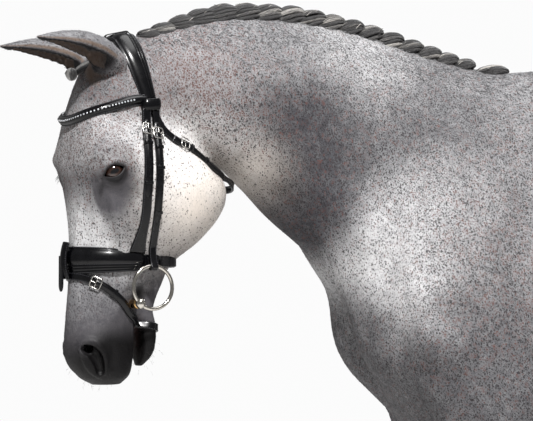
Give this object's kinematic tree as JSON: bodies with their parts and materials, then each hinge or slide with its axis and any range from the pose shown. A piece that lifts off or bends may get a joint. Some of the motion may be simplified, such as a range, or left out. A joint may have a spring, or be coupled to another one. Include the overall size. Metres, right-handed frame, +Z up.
{
  "type": "horse",
  "caption": "Life-size standing grey riding horse, neck arched and face near vertical, mane plaited, wearing a snaffle bridle without reins.",
  "frame": {"origin": "on the floor, under the middle of the model's box", "axes": "+X towards the tail, the horse faces -X; +Y towards the horse's right side; +Z up"},
  "size_m": [2.4, 0.592, 1.7605],
  "materials": {
    "coat": "short hair, flea-bitten grey, nearly black round the mouth and nostrils",
    "hoof_horn": "smooth horn",
    "eye": "wet",
    "mane_hair": "tightly plaited hair",
    "tail_hair": "long loose hair",
    "bridle_leather": "polished black",
    "bit_steel": "polished",
    "buckle_steel": "polished"
  },
  "bodies": {
    "root": {"bit_mouthpiece": "bit_steel", "bit_ring_left": "bit_steel", "bit_ring_right": "bit_steel", "browband": "bridle_leather", "buckle_cheekpiece_left": "buckle_steel", "buckle_cheekpiece_right": "buckle_steel", "buckle_flash_left": "buckle_steel", "buckle_noseband_left": "buckle_steel", "buckle_noseband_right": "buckle_steel", "buckle_throatlatch_left": "buckle_steel", "cheekpiece_left": "bridle_leather", "cheekpiece_right": "bridle_leather", "ear_left": "coat", "ear_right": "coat", "eye_left": "eye", "eye_right": "eye", "flash_loop": "bridle_leather", "flash_strap": "bridle_leather", "foreleg_left": "coat", "foreleg_right": "coat", "forelock_plait": "mane_hair", "head": "coat", "headpiece": "bridle_leather", "hindleg_left": "coat", "hindleg_right": "coat", "hoof_fore_left": "hoof_horn", "hoof_fore_right": "hoof_horn", "hoof_hind_left": "hoof_horn", "hoof_hind_right": "hoof_horn", "mane_plait_01": "mane_hair", "mane_plait_02": "mane_hair", "mane_plait_03": "mane_hair", "mane_plait_04": "mane_hair", "mane_plait_05": "mane_hair", "mane_plait_06": "mane_hair", "mane_plait_07": "mane_hair", "mane_plait_08": "mane_hair", "mane_plait_09": "mane_hair", "mane_plait_10": "mane_hair", "mane_plait_11": "mane_hair", "mane_plait_12": "mane_hair", "mane_plait_13": "mane_hair", "mane_plait_14": "mane_hair", "mane_plait_15": "mane_hair", "mane_plait_16": "mane_hair", "mane_plait_17": "mane_hair", "mane_plait_18": "mane_hair", "neck": "coat", "noseband": "bridle_leather", "noseband_strap_left": "bridle_leather", "noseband_strap_right": "bridle_leather", "tail": "tail_hair", "throatlatch": "bridle_leather", "trunk": "coat"}
  },
  "joints": []
}
